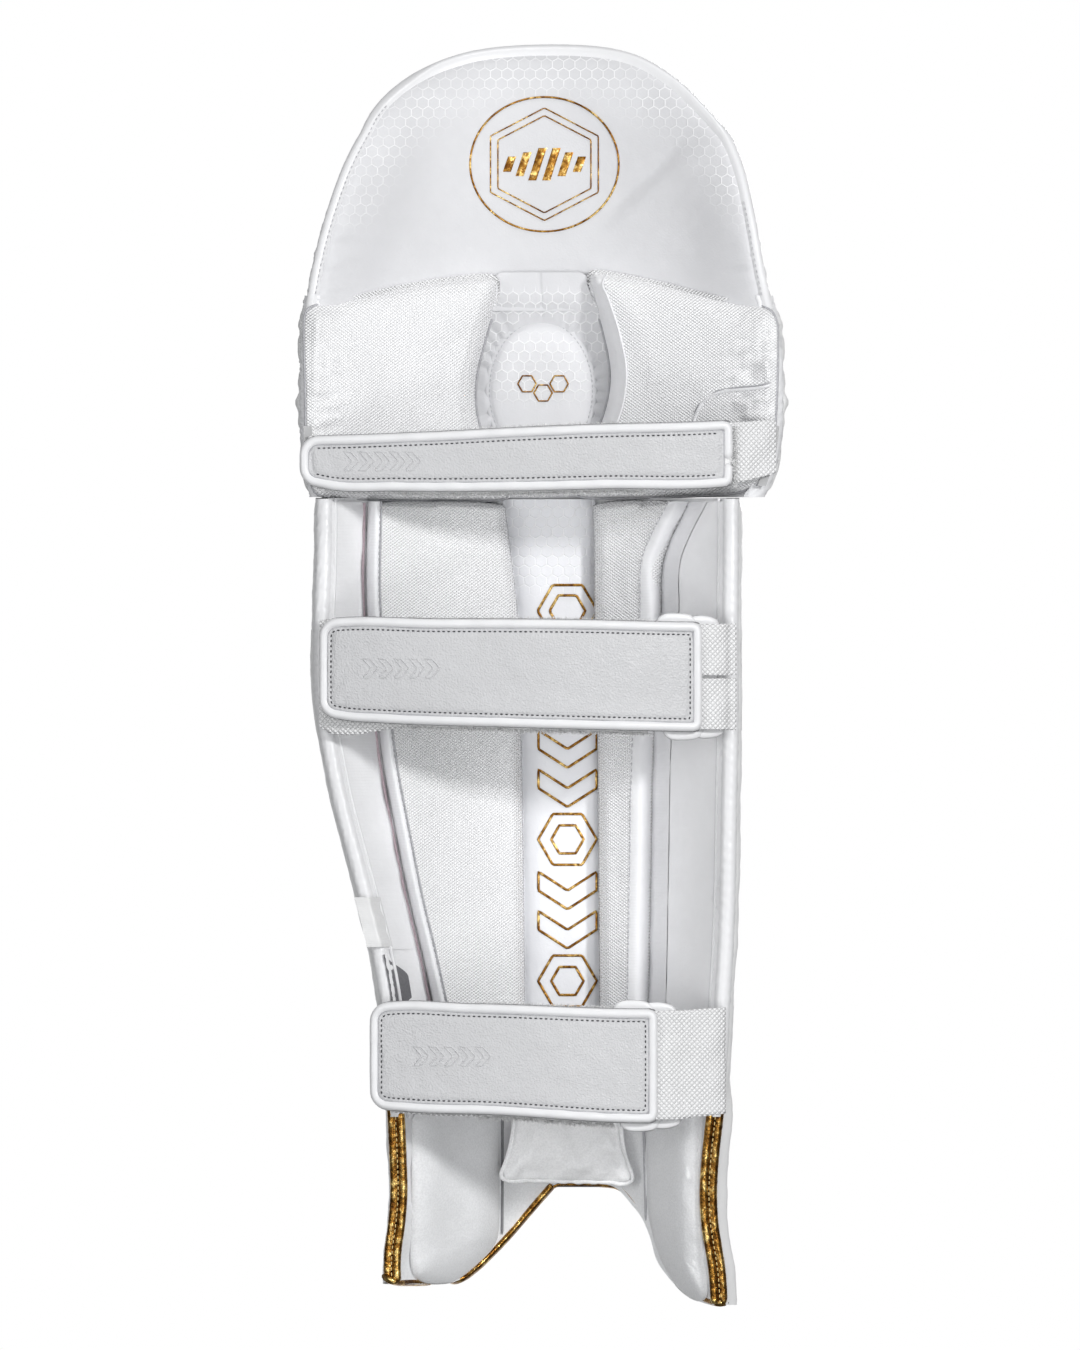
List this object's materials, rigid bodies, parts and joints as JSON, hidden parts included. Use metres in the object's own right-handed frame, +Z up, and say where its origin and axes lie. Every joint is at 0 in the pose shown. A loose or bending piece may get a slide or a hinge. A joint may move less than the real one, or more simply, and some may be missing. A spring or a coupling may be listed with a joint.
{
  "type": "cricket leg pad",
  "caption": "Batting leg guard with padded top hat, knee rolls, ribbed shin, inner bolsters, foot flaps and three hook and loop straps.",
  "frame": {"origin": "on the leg's axis at the height of the knee cup's centre", "axes": "+Z up along the leg, +Y towards the struck front face, -Y towards the wearer's calf and the straps, +X towards the outer side of a right leg"},
  "size_m": [0.2903, 0.183, 0.739],
  "materials": {
    "white_cloth": "smooth coated lining cloth, matt",
    "quilted_pu": "soft coated cloth with a faint honeycomb emboss",
    "face_pu": "fine grained coated face, satin",
    "hidden_foam": "closed cell foam, matt",
    "eva_board": "dense EVA board, matt",
    "stiffener_plastic": "moulded plate, matt",
    "mesh_knit": "spacer mesh knit",
    "suede_lining": "short brushed lining",
    "gold_foil": "crackled foil coated binding",
    "piping_white": "smooth folded binding, satin",
    "label_satin": "woven satin",
    "webbing": "elastic webbing, diamond weave",
    "strap_panel": "fine grained coated panel, satin",
    "hook_tape": "hook tape and coated keeper",
    "loop_fleece": "brushed loop pile"
  },
  "bodies": {
    "shell": {"shin_lining": "white_cloth", "knee_lining": "white_cloth", "knee_cup_surround": "white_cloth", "wing_linings": "white_cloth", "gutter_panel": "quilted_pu", "knee_cup_cover": "quilted_pu", "shin_facing": "face_pu", "inner_wing": "face_pu", "outer_wing": "face_pu", "knee_roll_upper": "face_pu", "knee_roll_middle": "face_pu", "knee_roll_lower": "face_pu", "foot_flap_facing": "face_pu", "shin_rods": "hidden_foam", "knee_roll_cores": "hidden_foam", "knee_cup_foam": "hidden_foam", "foot_flap_foam": "hidden_foam", "left_shin_bolster_foam": "hidden_foam", "right_shin_bolster_foam": "hidden_foam", "left_knee_bolster_foam": "hidden_foam", "right_knee_bolster_foam": "hidden_foam", "shin_backing": "eva_board", "knee_backing": "eva_board", "outer_wing_stiffener": "stiffener_plastic", "left_shin_bolster_cover": "mesh_knit", "right_shin_bolster_cover": "mesh_knit", "left_knee_bolster_cover": "mesh_knit", "right_knee_bolster_cover": "mesh_knit", "left_ankle_pad": "suede_lining", "right_ankle_pad": "suede_lining", "instep_lining": "suede_lining", "foot_binding": "gold_foil", "side_piping": "piping_white", "care_label": "label_satin", "strap_anchors": "webbing"},
    "top_hat": {"top_hat_lining": "quilted_pu", "top_hat_facing": "face_pu", "top_hat_foam": "hidden_foam", "top_hat_binding": "piping_white"},
    "knee_strap": {"knee_strap_face": "strap_panel", "knee_strap_core": "piping_white", "knee_strap_backing": "hook_tape", "knee_strap_webbing": "webbing"},
    "knee_loop": {"knee_loop_strap": "loop_fleece", "knee_loop_webbing": "webbing"},
    "calf_strap": {"calf_strap_face": "strap_panel", "calf_strap_core": "piping_white", "calf_strap_backing": "hook_tape", "calf_strap_webbing": "webbing"},
    "calf_loop": {"calf_loop_strap": "loop_fleece", "calf_loop_webbing": "webbing"},
    "ankle_strap": {"ankle_strap_face": "strap_panel", "ankle_strap_core": "piping_white", "ankle_strap_backing": "hook_tape", "ankle_strap_webbing": "webbing"},
    "ankle_loop": {"ankle_loop_strap": "loop_fleece", "ankle_loop_webbing": "webbing"},
    "instep_pad": {"instep_pad_cover": "suede_lining", "instep_pad_foam": "hidden_foam"}
  },
  "joints": [
    {"name": "knee_strap_open", "type": "hinge", "parent": "shell", "child": "knee_strap", "pos_m": [0.13596, -0.04035, -0.0415], "axis": [0, 0, 1], "range_deg": [0, 150]},
    {"name": "knee_loop_open", "type": "hinge", "parent": "shell", "child": "knee_loop", "pos_m": [-0.13672, -0.04035, -0.0415], "axis": [0, 0, -1], "range_deg": [0, 18]},
    {"name": "calf_strap_open", "type": "hinge", "parent": "shell", "child": "calf_strap", "pos_m": [0.11316, -0.05756, -0.1725], "axis": [0, 0, 1], "range_deg": [0, 150]},
    {"name": "calf_loop_open", "type": "hinge", "parent": "shell", "child": "calf_loop", "pos_m": [-0.13123, -0.05756, -0.1725], "axis": [0, 0, -1], "range_deg": [0, 18]},
    {"name": "ankle_strap_open", "type": "hinge", "parent": "shell", "child": "ankle_strap", "pos_m": [0.1067, -0.05457, -0.3935], "axis": [0, 0, 1], "range_deg": [0, 150]},
    {"name": "ankle_loop_open", "type": "hinge", "parent": "shell", "child": "ankle_loop", "pos_m": [-0.08921, -0.05457, -0.3935], "axis": [0, 0, -1], "range_deg": [0, 18]},
    {"name": "top_hat_flex", "type": "hinge", "parent": "shell", "child": "top_hat", "pos_m": [0, 0.073, 0.05], "axis": [-1, 0, 0], "range_deg": [0, 20], "stiffness_Nm_per_rad": 3},
    {"name": "instep_pad_swing", "type": "hinge", "parent": "shell", "child": "instep_pad", "pos_m": [0.0155, 0.0294, -0.4225], "axis": [-1, 0, 0], "range_deg": [0, 70]}
  ],
  "couplings": [
    {"joint": "knee_loop_open", "follows": "knee_strap_open", "ratio": 0.12},
    {"joint": "calf_loop_open", "follows": "calf_strap_open", "ratio": 0.12},
    {"joint": "ankle_loop_open", "follows": "ankle_strap_open", "ratio": 0.12}
  ]
}
